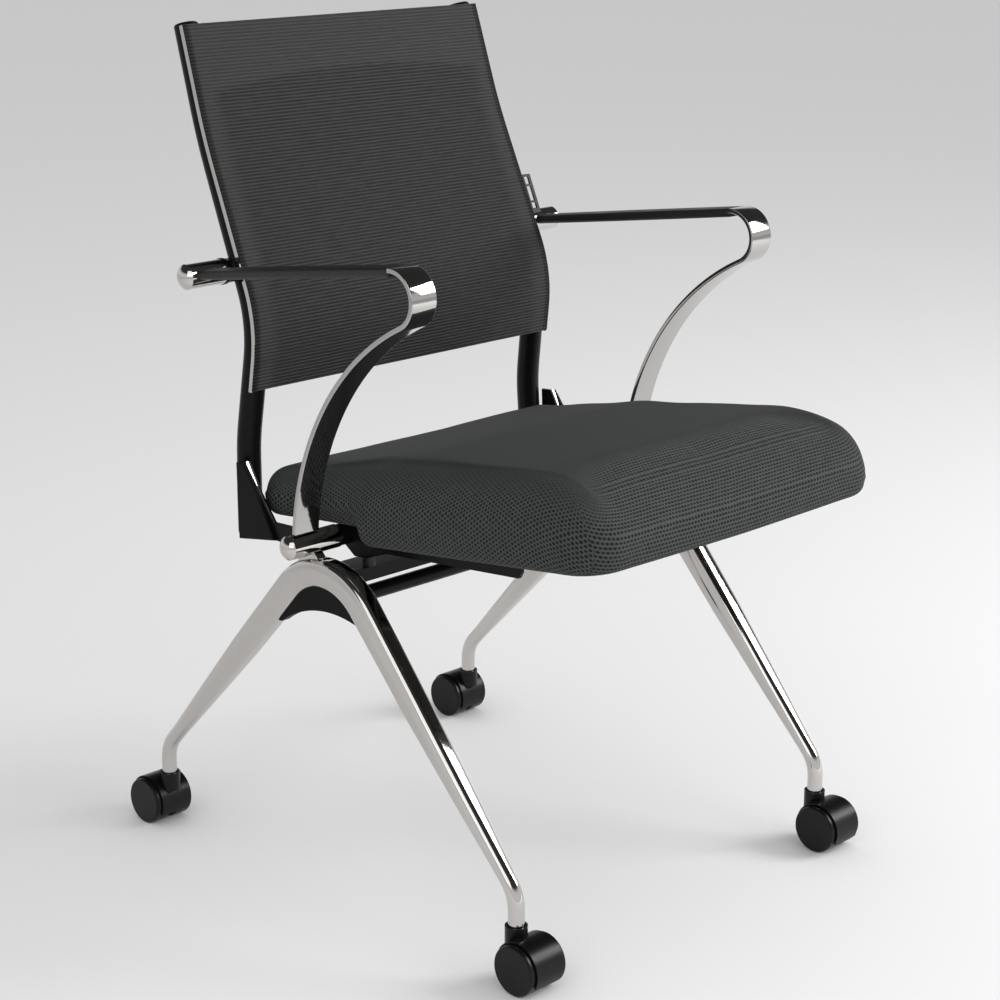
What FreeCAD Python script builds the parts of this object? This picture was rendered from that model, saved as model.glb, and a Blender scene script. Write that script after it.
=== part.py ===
"""Mesh-back nesting chair on casters.

Millimetres, +Z up, the sitter faces -Y, floor at Z 0. The origin is the bottom centre of the whole chair.
Positions below are written from the middle between the caster stems; every piece is moved by
origin_shift when it is saved.
"""
import FreeCAD, Part
import math
import os
from FreeCAD import Vector as V

# ---- driving dimensions ----
# casters
stem_x = 228.0            # caster stems and side legs, each side of the middle
stem_y = 265.5            # caster stems, ahead of and behind the middle
wheel_r = 25.0
caster_trail = 18.0       # wheel axle behind the swivel axis
wheel_outer = 23.8        # outer faces of a wheel pair, from the caster's middle
wheel_inner = 3.0
hood_r = 27.2
hood_wall = 1.4
hood_half = 17.4
neck_r = 11.0
caster_stem_z = 47.5      # bottom of the bore the stem turns in
axle_r = 3.0
swivel_r = 4.0            # caster stem
run_gap = 0.05            # radial clearance of everything that turns

# side legs
leg_foot_z = 55.4         # lower end of the round stem
leg_bend_z = 89.5         # where stem and slope would meet
leg_bend_r = 40.0
leg_top_y = -6.5          # where the two slopes would meet
leg_top_z = 381.6
leg_top_r = 71.5
leg_wall = 2.5
leg_upper = (14.8, 11.6)  # half sizes, in the leg's plane and across it
leg_mid = (13.2, 11.4)
leg_low = (10.3, 10.1)
leg_stem_r = 8.1
web_half = 5.0
web_reach = 99.0
web_arch_r, web_arch_y, web_arch_z = 134.0, -18.0, 308.7   # radius and crown of the arch under the web
socket_r, socket_len = 5.5, 28.0
cross_y, cross_z, cross_r = -8.0, 316.0, 8.0
stud_in_web, stud_in_tube = 7.0, 35.0
tray_y0, tray_y1, tray_z, tray_t = -15.0, 20.0, 345.0, 4.0   # cross plate between the leg tops

# barrels and the arm strap between them
barrel_r = 12.0
upper_r = 12.8
barrel_end_x = 261.0
lower_y, lower_z = 15.0, 375.0
lower_in_x = 200.0
pin_r = 6.0
saddle_half = 6.5
upper_y, upper_z = 162.0, 623.4
upper_in_x = 217.0
strap_in, strap_out = 225.0, 256.0
strap_t = 5.0
sweep_y, sweep_z, sweep_r = -265.0, 366.0, 278.0
sweep_from, sweep_to = 93.0, 154.0
hook_r = 27.0
pad_slope = 8.0           # the pad falls to the rear by this angle
pad_t = 9.0
bracket_in, bracket_out = 203.0, 213.5
tab_side = 1              # the slotted plate is on the right-hand tube only
tab_in, tab_out = 199.0, 223.5        # it lies against the front of the tube
tab_rear, tab_front = -10.1, -12.3    # its faces, from the tube's centre line
tab_top_z = 677.0
slot_in, slot_out = 213.2, 219.7
slot_spans = ((641.0, 647.0), (649.0, 664.5), (666.5, 674.5))

# back
tube_r, tube_wall = 12.4, 2.0
tube_line = [(138.2, 353.0), (142.3, 449.6), (125.7, 572.8), (204.1, 751.7), (238.0, 858.0)]   # (y, z) corners
tube_bends = [200.0, 130.0, 600.0]
tube_foot_x = 206.5       # the two tubes lean towards each other from here
tube_lean = 1.9
mesh_bottom_z, mesh_top_z = 506.2, 862.5
mesh_half_bottom, mesh_half_top = 213.4, 204.4
mesh_ahead = 13.7         # the mesh's front lies this far ahead of the tubes' centres
mesh_t = 1.2
strip_w, strip_d = 1.6, 5.3
strip_back = 1.1          # the strips' front behind the mesh's front, whose hems cover it
foot_z0, foot_z1 = 356.0, 404.0       # lug at the foot of each tube
lug_x, lug_y = 216.2, (116.0, 143.0)
plate_in, plate_t = 219.5, 5.0        # side plate from the barrel to the tube's foot
cover_t = 4.5
foot_bolts = ((123.5, 366.0), (126.5, 393.0))
top_rail_z, top_rail_bow = 834.0, 14.0
cross_bar_z, cross_bar_bow = 620.0, 16.0

# seat, in its own frame: pivot at the origin, forward -Y, level; tilted when fitted
seat_tilt = 5.1
seat_half = 215.0
seat_rear, seat_front = 102.0, -363.0
skirt_z0, skirt_z1 = -4.0, 3.0        # underside of the cushion's front part, its rear end and its front
rear_under_z = 20.0       # underside of the rear part, clear of the barrels
skirt_rear = -36.0
pan_z, pan_t = 12.0, 8.0
pan_half = 193.0
pan_front, pan_rear = -335.0, 84.0
hub_out, hub_in = 198.3, 177.0
hub_r = 11.0
rail_x, rail_t = 185.0, 4.0
web_front, web_low = -246.0, -14.0    # front end and lower edge of the bracket's upright web
bush_r = 8.0
bar_r, bar_y, bar_z = 7.0, -150.0, 0.0        # cross bar between the brackets

rear_reach = stem_y + caster_trail + hood_r
front_reach = lower_y + seat_front * math.cos(math.radians(seat_tilt)) + 1.5
origin_shift = V(0, -(rear_reach + front_reach) / 2, 0)

SIDES = (("left", -1), ("right", 1))
X = V(1, 0, 0)


# ---- helpers ----
def save(node, *solids):
    """Write one node: its solids, moved into the chair's frame."""
    shape = solids[0] if len(solids) == 1 else Part.makeCompound(list(solids))
    shape = shape.copy()
    shape.translate(origin_shift)
    shape.exportStep("parts/" + node + ".step")


def rod(r, x0, x1, y, z):
    """Cylinder along X."""
    return Part.makeCylinder(r, abs(x1 - x0), V(min(x0, x1), y, z), X)


def block(x0, x1, y0, y1, z0, z1):
    return Part.makeBox(abs(x1 - x0), y1 - y0, z1 - z0, V(min(x0, x1), y0, z0))


def plate_yz(points, x0, x1):
    """Flat plate: a Y-Z outline given thickness from x0 to x1."""
    wire = Part.makePolygon([V(x0, y, z) for y, z in points + points[:1]])
    return Part.Face(wire).extrude(V(x1 - x0, 0, 0))


def turned(p, deg, r):
    """Point at an angle and distance from p, in the Y-Z plane."""
    a = math.radians(deg)
    return (p[0] + r * math.cos(a), p[1] + r * math.sin(a))


def ellipse_wire(centre, along, half_n, half_x):
    """Elliptical section square to a direction in the Y-Z plane; half_n is the larger half size."""
    normal = X.cross(along).normalize()
    return Part.Wire([Part.Ellipse(centre + normal * half_n, centre + X * half_x, centre).toShape()])


def corner(vertex, d1, d2, r):
    """Round corner between two directions leaving a vertex: arc centre, tangent length, turning angle."""
    inside = d1.getAngle(d2)
    middle = (d1 + d2).normalize()
    return vertex + middle * (r / math.sin(inside / 2)), r / math.tan(inside / 2), 180 - math.degrees(inside)


def screw(x, y, z, r_head, t_head, r_shank, length, direction):
    """Button-head screw; its head grows along direction from the point, the shank the other way."""
    d = V(*direction)
    head = Part.makeCylinder(r_head, t_head, V(x, y, z), d)
    rim = [e for e in head.Edges if e.BoundBox.Center.sub(V(x, y, z)).dot(d) > 0.9 * t_head]
    head = head.makeFillet(t_head * 0.45, rim)
    socket = Part.makeCylinder(r_head * 0.4, t_head * 0.6, V(x, y, z) + d * (t_head * 0.5), d)
    return head.cut(socket).fuse(Part.makeCylinder(r_shank, length, V(x, y, z), d * -1)).removeSplitter()


# ---- side legs ----
def leg_directions(x):
    """Top vertex, and the direction and bend vertex of each slope, front first."""
    top = V(x, leg_top_y, leg_top_z)
    bends = [V(x, y, leg_bend_z) for y in (-stem_y, stem_y)]
    return top, [((bend - top).normalize(), bend) for bend in bends]


def leg_tube(x, inset):
    """The inverted V without its stems; inset gives the hollow inside."""
    top, slopes = leg_directions(x)
    (front, _), (rear, _) = slopes
    centre, tangent, turn = corner(top, front, rear, leg_top_r)
    sizes = [(a - inset, b - inset) for a, b in (leg_upper, leg_mid, leg_low)]
    start = top + front * tangent
    bow = Part.Face(ellipse_wire(start, front, *sizes[0])).revolve(centre, V(-1, 0, 0), turn)
    pieces = [bow]
    end_r = leg_stem_r - 0.05 - inset
    for direction, bend in slopes:
        length = (bend - top).Length
        stations = [tangent, length * 0.5, length * 0.74, length - 22.0]
        sections = [ellipse_wire(top + direction * s, direction, *size)
                    for s, size in zip(stations, sizes + [(end_r, end_r - 0.01)])]
        pieces.append(Part.makeLoft(sections, True, False))
    return pieces[0].fuse(pieces[1:])


def leg_stems(x):
    """Round stems with their elbows, bored for the caster sockets."""
    top, slopes = leg_directions(x)
    stems = []
    for direction, bend in slopes:
        centre, tangent, turn = corner(bend, direction * -1, V(0, 0, -1), leg_bend_r)
        low = bend - V(0, 0, tangent)
        height = low.z - leg_foot_z
        stem = Part.makeCylinder(leg_stem_r, height, V(low.x, low.y, leg_foot_z))
        axis = X if bend.y > 0 else X * -1
        ring = Part.Wire([Part.Circle(low, V(0, 0, 1), leg_stem_r).toShape()])
        elbow = Part.Face(ring).revolve(centre, axis, turn)
        run = Part.makeCylinder(leg_stem_r, 12.0, bend - direction * tangent, direction * -1)
        stems.append(stem.fuse([elbow, run]))
    return stems


def build_legs():
    for name, side in SIDES:
        x = side * stem_x
        outer = leg_tube(x, 0)
        leg = outer.cut(leg_tube(x, leg_wall)).fuse(leg_stems(x)).removeSplitter()
        for y in (-stem_y, stem_y):
            leg = leg.cut(Part.makeCylinder(socket_r, socket_len, V(x, y, leg_foot_z - 1)))
        save("side_leg_" + name, leg)
        save("leg_web_" + name, leg_web(x, outer))


def leg_web(x, leg):
    """Plate that fills the top of the V down to an arch."""
    top, slopes = leg_directions(x)
    y0, z0, reach = top.y, top.z, web_reach
    corners = [(y0, z0), (y0 - reach, z0 - reach), (y0 + reach, z0 - reach)]
    plate = plate_yz(corners, x - web_half, x + web_half)
    arch = rod(web_arch_r, x - 20, x + 20, web_arch_y, web_arch_z - web_arch_r)
    web = plate.cut(arch).cut(leg)
    inner = x - math.copysign(web_half, x)
    stud_hole = rod(3.5, inner, inner + math.copysign(stud_in_web, x), cross_y, cross_z)
    return max(web.cut(stud_hole).Solids, key=lambda s: s.Volume)


# ---- members that join the two sides ----
def build_cross_members():
    half = stem_x - web_half
    tube = rod(cross_r, -half, half, cross_y, cross_z)
    for side in (-1, 1):
        tube = tube.cut(rod(3.5, side * half, side * (half - stud_in_tube), cross_y, cross_z))
    save("cross_tube", tube)
    studs = [rod(3.5, side * (half + stud_in_web), side * (half - stud_in_tube), cross_y, cross_z)
             for side in (-1, 1)]
    save("cross_tube_studs", *studs)
    tray = block(-half, half, tray_y0, tray_y1, tray_z - tray_t, tray_z)
    lip = block(-half, half, tray_y0, tray_y0 + 3, tray_z - 14, tray_z)
    tray = tray.fuse(lip).removeSplitter()
    for side in (-1, 1):
        tray = tray.cut(leg_hull[side])
    save("cross_plate", tray)


# ---- barrels ----
def dome_cap(side, y, z, r):
    """Domed cap on a barrel's outer end, with a plug inside."""
    ball_r = (r ** 2 + 6.5 ** 2) / (2 * 6.5)
    end = side * barrel_end_x
    ball = Part.makeSphere(ball_r, V(end + side * (6.5 - ball_r), y, z))
    dome = ball.common(rod(r, end, end + side * 10, y, z))
    return dome.fuse(rod(pin_r - 0.02, end, end - side * 5, y, z)).removeSplitter()


def saddle(side):
    """Low pad with sloped ends that carries the lower barrel on top of the leg."""
    outline = [(-14.0, 348.0), (3.0, 361.0), (8.0, 366.0), (22.0, 366.0), (28.0, 360.0), (42.0, 344.0)]
    pad = plate_yz(outline, side * stem_x - saddle_half, side * stem_x + saddle_half)
    flanks = [e for e in pad.Edges if e.BoundBox.XLength < 0.01 and e.BoundBox.Center.z > 347]
    return pad.makeFillet(2.5, flanks)


def build_lower_barrels():
    caps, pins = [], []
    for name, side in SIDES:
        barrel = rod(barrel_r, side * barrel_end_x, side * lower_in_x, lower_y, lower_z)
        barrel = barrel.fuse(saddle(side)).cut(leg_hull[side]).removeSplitter()
        barrel = barrel.cut(rod(pin_r, side * barrel_end_x, side * lower_in_x, lower_y, lower_z))
        barrel = max(barrel.Solids, key=lambda s: s.Volume)
        save("lower_barrel_" + name, barrel)
        caps.append(dome_cap(side, lower_y, lower_z, barrel_r))
        pins.append(rod(pin_r, side * (barrel_end_x - 5), side * hub_in, lower_y, lower_z))
    save("lower_barrel_caps", *caps)
    save("pivot_pins", *pins)


def build_upper_barrels():
    caps = []
    for name, side in SIDES:
        barrel = rod(upper_r, side * barrel_end_x, side * upper_in_x, upper_y, upper_z)
        barrel = barrel.cut(tongue_solid(side)).cut(pad_envelope(side))
        barrel = barrel.cut(rod(pin_r, side * barrel_end_x, side * (barrel_end_x - 5), upper_y, upper_z))
        save("upper_barrel_" + name, max(barrel.Solids, key=lambda s: s.Volume))
        caps.append(dome_cap(side, upper_y, upper_z, upper_r))
        save("arm_bracket_" + name, arm_brackets[side])
    save("upper_barrel_caps", *caps)


def beside_tube(x0, x1, y0, y1, z0, z1):
    """Slab whose front and rear edges follow the back tube, y0 and y1 from its centre line."""
    low, high = tube_at(z0)[1], tube_at(z1)[1]
    return plate_yz([(low + y0, z0), (high + y0, z1), (high + y1, z1), (low + y1, z0)], x0, x1)


def arm_bracket(side):
    """Lug on the back tube with the collar the barrel seats in; one side also carries the slotted plate."""
    x0, x1 = side * bracket_in, side * bracket_out
    lug = rod(upper_r - 0.6, x0, x1, upper_y, upper_z)
    parts = [beside_tube(x0, x1, -7.0, 7.0, upper_z - 8, upper_z + 12),
             rod(upper_r + 0.6, x1, side * upper_in_x, upper_y, upper_z)]
    if side == tab_side:
        tab = beside_tube(side * tab_in, side * tab_out, tab_front, tab_rear, upper_z + 13, tab_top_z)
        for z0, z1 in slot_spans:
            tab = tab.cut(beside_tube(side * slot_in, side * slot_out, tab_front - 1, tab_rear + 1, z0, z1))
        rib = beside_tube(x0, side * 211.0, tab_rear - 0.5, 0.5, upper_z - 8, tab_top_z - 8)
        parts += [tab, rib]
    barrel = rod(upper_r, side * upper_in_x, side * barrel_end_x, upper_y, upper_z)
    bracket = lug.fuse(parts).cut(tube_hull[side]).cut(barrel).cut(pad_envelope(side))
    return max(bracket.removeSplitter().Solids, key=lambda s: s.Volume)


# ---- arms ----
def hook_centre():
    return turned((sweep_y, sweep_z), sweep_to - 90, sweep_r + hook_r)


def tongue_line():
    """Where the bar's straight run under the pad starts and ends, in side view."""
    start = turned(hook_centre(), 90 - pad_slope, hook_r)
    run = upper_y - 8.0 - start[0]
    return start, (start[0] + run, start[1] - run * math.tan(math.radians(pad_slope)))


def bar_side(d):
    """One face of the flat bar in side view, d outside its centre line: up the sweep, then round the hook."""
    sweep_angles = (sweep_from - 90, (sweep_from + sweep_to) / 2 - 90, sweep_to - 90)
    hook_angles = (sweep_to + 90, (sweep_to + 180 - pad_slope) / 2, 90 - pad_slope)
    sweep = [turned((sweep_y, sweep_z), a, sweep_r + d) for a in sweep_angles]
    hook = [turned(hook_centre(), a, hook_r - d) for a in hook_angles]
    return [Part.Arc(*[V(0, y, z) for y, z in arc]).toShape() for arc in (sweep, hook)]


def bar_solid(side):
    outer, inner = bar_side(strap_t / 2), bar_side(-strap_t / 2)
    ends = [Part.makeLine(outer[i].Vertexes[i].Point, inner[i].Vertexes[i].Point) for i in (0, 1)]
    face = Part.Face(Part.Wire(Part.__sortEdges__(outer + inner + ends)))
    face.translate(V(side * strap_in, 0, 0))
    return face.extrude(V(side * (strap_out - strap_in), 0, 0))


def tongue_solid(side):
    ends = tongue_line()
    half = (strap_t - 1.0) / 2
    above = [turned(p, 90 - pad_slope, half) for p in ends]
    below = [turned(p, -90 - pad_slope, half) for p in reversed(ends)]
    return plate_yz(above + below, side * (strap_in + 5), side * (strap_out - 5))


def pad_envelope(side):
    """Arm pad: a soft sleeve round the bar's tongue."""
    start, rear = tongue_line()
    tilt = math.radians(pad_slope)
    length = (rear[0] - 0.5 - start[0]) / math.cos(tilt)
    half = (strap_out - strap_in) / 2
    pad = Part.makeBox(2 * half, length, pad_t, V(-half, 0, -pad_t + strap_t / 2))
    pad = pad.makeFillet(3.2, [e for e in pad.Edges if abs(e.tangentAt(e.FirstParameter).y) > 0.99])
    pad.rotate(V(0, 0, 0), X, -pad_slope)
    pad.translate(V(side * (strap_in + half), start[0] + 0.4, start[1]))
    return pad


def build_arms():
    for name, side in SIDES:
        barrel = rod(barrel_r, side * barrel_end_x, side * lower_in_x, lower_y, lower_z)
        bar = bar_solid(side).cut(barrel)
        long_edges = [e for e in bar.Edges if e.BoundBox.XLength < 0.01 and e.Length > 20]
        strap = bar.makeChamfer(0.6, long_edges).fuse(tongue_solid(side))
        save("arm_strap_" + name, max(strap.Solids, key=lambda s: s.Volume))
        save("arm_pad_" + name, pad_envelope(side).cut(bar_solid(side)).cut(tongue_solid(side)))


# ---- back ----
def back_line(ahead=0.0):
    """The back's side profile: straight runs joined by tangent arcs, moved ahead of the tubes' centres."""
    points = [V(0, y, z) for y, z in tube_line]
    sides = [X.cross(b - a).normalize() for a, b in zip(points, points[1:])]
    moved = [points[0] + sides[0] * ahead]
    for point, a, b in zip(points[1:], sides, sides[1:]):
        moved.append(point + (a + b) * (ahead / (1 + a.dot(b))))
    moved.append(points[-1] + sides[-1] * ahead)
    edges, start = [], moved[0]
    for i, bend in enumerate(tube_bends):
        turns_forward = sides[i].cross(sides[i + 1]).x > 0
        r = bend - ahead if turns_forward else bend + ahead
        before, here, after = moved[i:i + 3]
        d1, d2 = (before - here).normalize(), (after - here).normalize()
        centre, tangent, _ = corner(here, d1, d2, r)
        p, q = here + d1 * tangent, here + d2 * tangent
        middle = centre + (here - centre).normalize() * r
        edges += [Part.makeLine(start, p), Part.Arc(p, middle, q).toShape()]
        start = q
    return edges + [Part.makeLine(start, moved[-1])]


def lean_in(shape, side):
    """Put a shape made at x 0 on its side of the back, leaning inwards with height."""
    shape.translate(V(side * tube_foot_x, 0, 0))
    shape.rotate(V(side * tube_foot_x, 0, tube_line[0][1]), V(0, 1, 0), -side * tube_lean)
    return shape


def tube_solid(side, r):
    path = Part.Wire(back_line())
    along = path.Edges[0].tangentAt(path.Edges[0].FirstParameter)
    ring = Part.Wire([Part.Circle(V(0, *tube_line[0]), along, r).toShape()])
    return lean_in(path.makePipeShell([ring], True, False), side)


def tube_at(z):
    """Centre (x, y) of the right-hand tube at a height."""
    level = Part.makeLine(V(0, 0, z), V(0, 400, z))
    on_line = Part.Wire(back_line()).distToShape(level)[1][0][0]
    return tube_foot_x - (z - tube_line[0][1]) * math.tan(math.radians(tube_lean)), on_line.y


def build_back_tubes():
    caps = []
    for name, side in SIDES:
        outer = tube_hull[side]
        lug = block(side * plate_in, side * lug_x, *lug_y, foot_z0, foot_z1).cut(outer)
        lug = max(lug.Solids, key=lambda s: s.Volume)
        tube = outer.cut(tube_solid(side, tube_r - tube_wall)).fuse(lug)
        for y, z in foot_bolts:
            tube = tube.cut(rod(3.0, side * 240, side * 204, y, z))
        save("back_tube_" + name, tube)
        d = (V(0, *tube_line[-1]) - V(0, *tube_line[-2])).normalize()
        tip = V(0, *tube_line[-1])
        cap = Part.makeCylinder(tube_r, 4.0, tip, d)
        rim = [e for e in cap.Edges if (e.BoundBox.Center - tip).dot(d) > 3.5]
        cap = cap.makeFillet(2.5, rim).fuse(Part.makeCylinder(tube_r - tube_wall - 0.02, 9.0, tip, d * -1))
        caps.append(lean_in(cap, side))
    save("back_tube_caps", *caps)


def back_sheet(ahead, t):
    """Sheet across the whole back that follows its side profile; its front is ahead of the tubes' centres."""
    front, rear = back_line(ahead), back_line(ahead - t)
    ends = [Part.makeLine(front[i].Vertexes[i].Point, rear[i].Vertexes[i].Point) for i in (0, -1)]
    face = Part.Face(Part.Wire(Part.__sortEdges__(front + rear + ends)))
    face.translate(V(-260, 0, 0))
    return face.extrude(V(520, 0, 0))


def back_outline(spread, rise):
    """Front view of the back as a deep block: a trapezium, spread sideways and grown up and down."""
    slope = (mesh_half_top - mesh_half_bottom) / (mesh_top_z - mesh_bottom_z)
    z0, z1 = mesh_bottom_z - rise, mesh_top_z + rise
    w0, w1 = [mesh_half_bottom + spread + slope * (z - mesh_bottom_z) for z in (z0, z1)]
    outline = [V(-w0, 0, z0), V(w0, 0, z0), V(w1, 0, z1), V(-w1, 0, z1)]
    return Part.Face(Part.makePolygon(outline + outline[:1])).extrude(V(0, 400, 0))


def build_mesh():
    save("mesh_panel", back_sheet(mesh_ahead, mesh_t).common(back_outline(-strip_w, 0)))
    rim = back_outline(0, 1.5).cut(back_outline(-strip_w, 5))
    strips = back_sheet(mesh_ahead - strip_back, strip_d).common(rim)
    for name, side in SIDES:
        strip = [s for s in strips.Solids if s.CenterOfMass.x * side > 0][0]
        save("mesh_edge_" + name, strip.cut(tube_hull[side]).cut(arm_brackets[side]))


def bowed_bar(z, half_height, bow, thick, drop=0.0):
    """Flat bar across the back, bowed to the rear; its lower edge sags by drop."""
    x, y = tube_at(z)
    x = x - tube_r + 3.0
    inner = Part.Arc(V(-x, y, 0), V(0, y + bow, 0), V(x, y, 0)).toShape()
    outer = Part.Arc(V(-x, y + thick, 0), V(0, y + bow + thick, 0), V(x, y + thick, 0)).toShape()
    ends = [Part.makeLine(V(s * x, y, 0), V(s * x, y + thick, 0)) for s in (-1, 1)]
    plan = Part.Face(Part.Wire(Part.__sortEdges__([inner, outer] + ends)))
    plan.translate(V(0, 0, z - half_height - drop))
    bar = plan.extrude(V(0, 0, 2 * half_height + drop))
    if drop:
        low = z - half_height
        sag = Part.Arc(V(-x, 0, low), V(0, 0, low - drop), V(x, 0, low)).toShape()
        frame = [V(x, 0, low), V(x, 0, z + 60), V(-x, 0, z + 60), V(-x, 0, low)]
        rest = [Part.makeLine(a, b) for a, b in zip(frame, frame[1:])]
        front = Part.Face(Part.Wire([sag] + rest)).extrude(V(0, 500, 0))
        bar = bar.common(front)
    for side in (-1, 1):
        bar = bar.cut(tube_hull[side])
    return max(bar.Solids, key=lambda s: s.Volume)


def build_back_rails():
    save("top_rail", bowed_bar(top_rail_z, 12.0, top_rail_bow, 5.0, drop=16.0))
    save("back_cross_bar", bowed_bar(cross_bar_z, 20.0, cross_bar_bow, 4.0))


def build_side_plates():
    """Plate from each lower barrel to the tube's foot, and the black cover outside it."""
    plates = [(lower_y, 362.5), (78.0, 362.0), (131.5, 353.0), (135.0, 434.5), (121.0, 435.5), (107.0, 412.0),
              (81.0, 379.5), (lower_y, 382.5)]
    covers = [(75.5, 362.8), (131.0, 353.5), (132.5, 433.5), (121.5, 435.0), (102.5, 411.0)]
    bolts = []
    for name, side in SIDES:
        x0, x1 = side * plate_in, side * (plate_in + plate_t)
        plate = plate_yz(plates, x0, x1).cut(rod(barrel_r, side * 190, side * 262, lower_y, lower_z))
        plate = plate.cut(leg_hull[side]).cut(saddle(side))
        cover = plate_yz(covers, x1, x1 + side * cover_t)
        rim = [e for e in cover.Edges if abs(abs(e.BoundBox.Center.x) - (plate_in + plate_t + cover_t)) < 0.1]
        cover = cover.makeFillet(1.8, rim)
        for y, z in foot_bolts:
            plate = plate.cut(rod(3.0, side * 240, side * 204, y, z))
            cover = cover.cut(rod(6.4, x1, x1 + side * 3.2, y, z))
            bolts.append(screw(x1, y, z, 6.0, 2.8, 3.0, plate_t + 3.2, (side, 0, 0)))
        save("side_plate_" + name, max(plate.Solids, key=lambda s: s.Volume))
        save("foot_cover_" + name, cover)
    save("foot_bolts", *bolts)


# ---- seat ----
def fit_seat(shape):
    """From the seat's own frame to the chair: tilt about the pivot, then up to it."""
    shape = shape.copy()
    shape.rotate(V(0, 0, 0), X, -seat_tilt)
    shape.translate(V(0, lower_y, lower_z))
    return shape


def cushion_section(y):
    """Half width, underside, top and corner radii of the cushion at a distance forward (-Y)."""
    ahead = -y
    top = 55.0 + (ahead + seat_rear) * 0.128 if ahead < 82 else 78.0 + (ahead - 82) * 0.0435
    nose = 100.0
    start = -seat_front - nose
    if ahead > start:
        k = (ahead - start) / nose
        top = skirt_z1 + (top - skirt_z1) * (0.42 + 0.58 * math.sqrt(max(1 - k * k, 0)))
    under = skirt_z0 + (skirt_z1 - skirt_z0) * max(0.0, (ahead + skirt_rear) / (-seat_front + skirt_rear))
    into_corner = max(0.0, ahead - (-seat_front - 50.0))
    inset = 50.0 - math.sqrt(50.0 ** 2 - into_corner ** 2)
    back_corner = max(0.0, -ahead - (seat_rear - 18.0))
    inset += 18.0 - math.sqrt(18.0 ** 2 - back_corner ** 2)
    under += max(0.0, 14.0 - math.sqrt(max(14.0 ** 2 - max(0.0, into_corner - 34.0) ** 2, 0)))
    return seat_half - inset, under, top


def rounded_section(y):
    half, z0, z1 = cushion_section(y)
    r1 = min(22.0, (z1 - z0) * 0.45)
    r0 = min(12.0, (z1 - z0) * 0.3)
    q = math.sqrt(0.5)
    line, arc = Part.makeLine, lambda a, b, c: Part.Arc(a, b, c).toShape()

    def p(x, z):
        return V(x, y, z)
    edges = [line(p(-half + r0, z0), p(half - r0, z0)),
             arc(p(half - r0, z0), p(half - r0 + r0 * q, z0 + r0 - r0 * q), p(half, z0 + r0)),
             line(p(half, z0 + r0), p(half, z1 - r1)),
             arc(p(half, z1 - r1), p(half - r1 + r1 * q, z1 - r1 + r1 * q), p(half - r1, z1)),
             line(p(half - r1, z1), p(-half + r1, z1)),
             arc(p(-half + r1, z1), p(-half + r1 - r1 * q, z1 - r1 + r1 * q), p(-half, z1 - r1)),
             line(p(-half, z1 - r1), p(-half, z0 + r0)),
             arc(p(-half, z0 + r0), p(-half + r0 - r0 * q, z0 + r0 - r0 * q), p(-half + r0, z0))]
    return Part.Wire(edges)


def build_cushion():
    spots = [seat_rear, 97.0, 91.0, 83.0, 36.0, -36.0, -82.0, -170.0, -262.0, -290.0, -313.0, -332.0, -346.0,
             -356.0, seat_front]
    body = Part.makeLoft([rounded_section(y) for y in spots], True, True)
    body = body.cut(block(-300, 300, skirt_rear, seat_rear + 10, -20, rear_under_z))
    pocket = block(-pan_half - 1, pan_half + 1, pan_front - 1, skirt_rear + 1, -20, pan_z + pan_t)
    save("seat_cushion", fit_seat(body.cut(pocket)))


def build_pan():
    pan = block(-pan_half, pan_half, pan_front, pan_rear, pan_z, pan_z + pan_t)
    pan = pan.makeFillet(30.0, [e for e in pan.Edges if abs(e.tangentAt(e.FirstParameter).z) > 0.99])
    for x, y in pan_screw_places():
        pan = pan.cut(Part.makeCylinder(2.5, pan_t + 2, V(x, y, pan_z - 1)))
    save("seat_pan", fit_seat(pan))


def pan_screw_places():
    return [(side * (rail_x - 14.0), y) for side in (-1, 1) for y in (-40.0, -130.0, -230.0)]


def build_seat_frame():
    screws, bushes, stops = [], [], []
    for name, side in SIDES:
        x0, x1 = side * (rail_x - rail_t / 2), side * (rail_x + rail_t / 2)
        web = plate_yz([(10.0, -4.0), (10.0, pan_z), (web_front, pan_z), (web_front, -8.0),
                        (web_front + 4.0, web_low), (-60.0, web_low), (-30.0, -22.0), (-12.0, -22.0)], x0, x1)
        flange = block(x0, x0 - side * 26.0, web_front, 8.0, pan_z - 3.0, pan_z)
        foot = block(x1, x1 - side * 24.0, -30.0, -12.0, -22.0, -19.0)
        hub = rod(hub_r, side * hub_out, side * hub_in, 0, 0)
        rail = web.fuse([flange, hub, foot]).cut(rod(bush_r, side * 210, side * 170, 0, 0))
        for x, y in pan_screw_places():
            rail = rail.cut(Part.makeCylinder(2.5, 8, V(x, y, pan_z - 5)))
        rail = rail.cut(rod(bar_r, -220, 220, bar_y, bar_z)).removeSplitter()
        save("seat_bracket_" + name, fit_seat(rail))
        bush = rod(bush_r, side * hub_out, side * hub_in, 0, 0)
        bush = bush.fuse(rod(hub_r, side * (lower_in_x - 0.2), side * hub_out, 0, 0))
        bushes.append(fit_seat(bush.cut(rod(pin_r + run_gap, side * 210, side * 170, 0, 0))))
        stops.append(stop_bumper(side))
    for x, y in pan_screw_places():
        screws.append(fit_seat(screw(x, y, pan_z - 3.0, 4.5, 2.6, 2.5, 9.0, (0, 0, -1))))
    save("hub_bushes", *bushes)
    save("seat_stops", *stops)
    save("pan_screws", *screws)
    bar = rod(bar_r, -rail_x - rail_t / 2, rail_x + rail_t / 2, bar_y, bar_z)
    save("seat_cross_bar", fit_seat(bar))


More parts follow.
